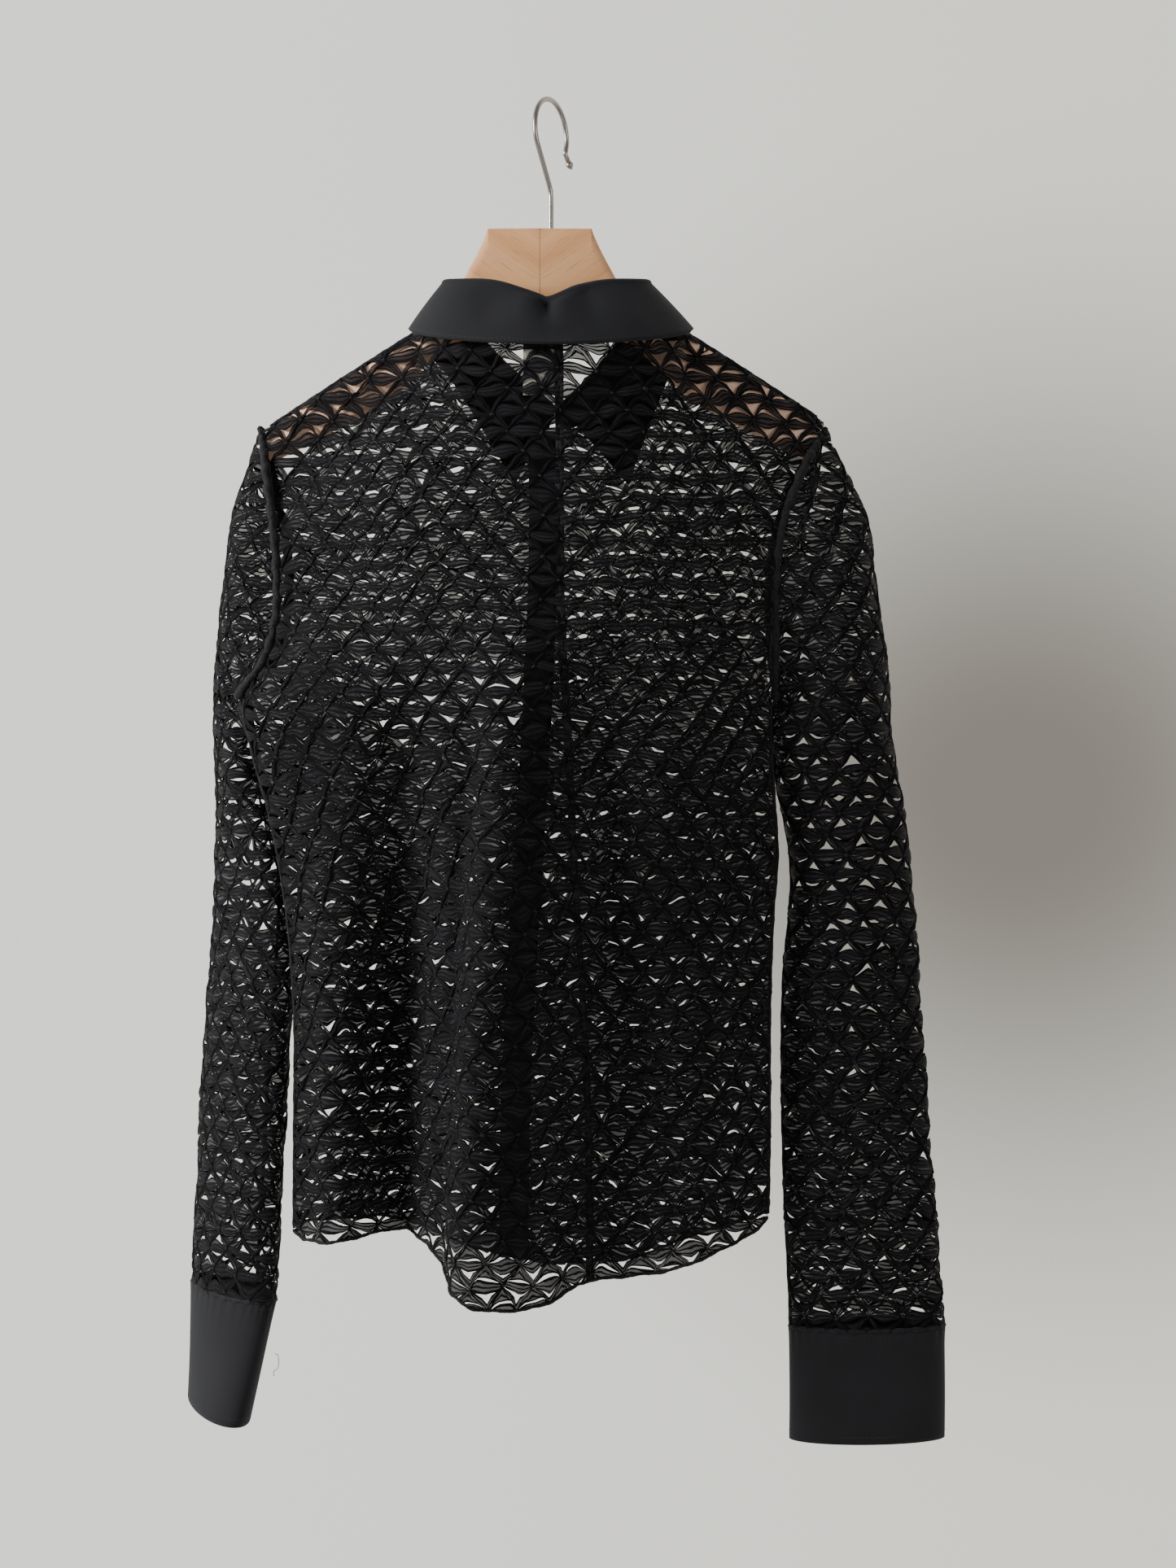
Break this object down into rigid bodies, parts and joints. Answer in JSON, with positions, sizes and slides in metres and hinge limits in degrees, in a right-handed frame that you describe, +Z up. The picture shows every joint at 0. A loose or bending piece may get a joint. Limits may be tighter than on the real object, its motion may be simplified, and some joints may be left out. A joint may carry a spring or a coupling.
{
  "type": "organdy shirt on a wooden hanger",
  "caption": "Black openwork lace shirt with plain cotton collar and cuffs, buttoned up and hung on a beech hanger with a steel hook.",
  "frame": {"origin": "the inner top of the hanger's hook, where a rod carries it", "axes": "+Z up along the hook's stem, +Y toward the wearer's front, +X toward the wearer's right"},
  "size_m": [0.5286, 0.1895, 0.9113],
  "materials": {
    "lace": "semi-sheer organdy with corded edges",
    "cotton": "matt plain weave",
    "buttons": "gloss",
    "label": "matt ribbon",
    "beech": "satin lacquer",
    "steel": "satin"
  },
  "bodies": {
    "root": {"back_left": "lace", "back_right": "lace", "front_left": "lace", "front_right": "lace", "sleeve_left": "lace", "sleeve_right": "lace", "collar": "cotton", "cuff_left": "cotton", "cuff_right": "cotton", "band_under": "cotton", "band_over": "cotton", "button_1": "buttons", "button_2": "buttons", "button_3": "buttons", "button_4": "buttons", "button_5": "buttons", "button_6": "buttons", "button_7": "buttons", "button_cuff_left": "buttons", "button_cuff_right": "buttons", "neck_label": "label", "hanger_wood": "beech", "hanger_hook": "steel"}
  },
  "joints": []
}
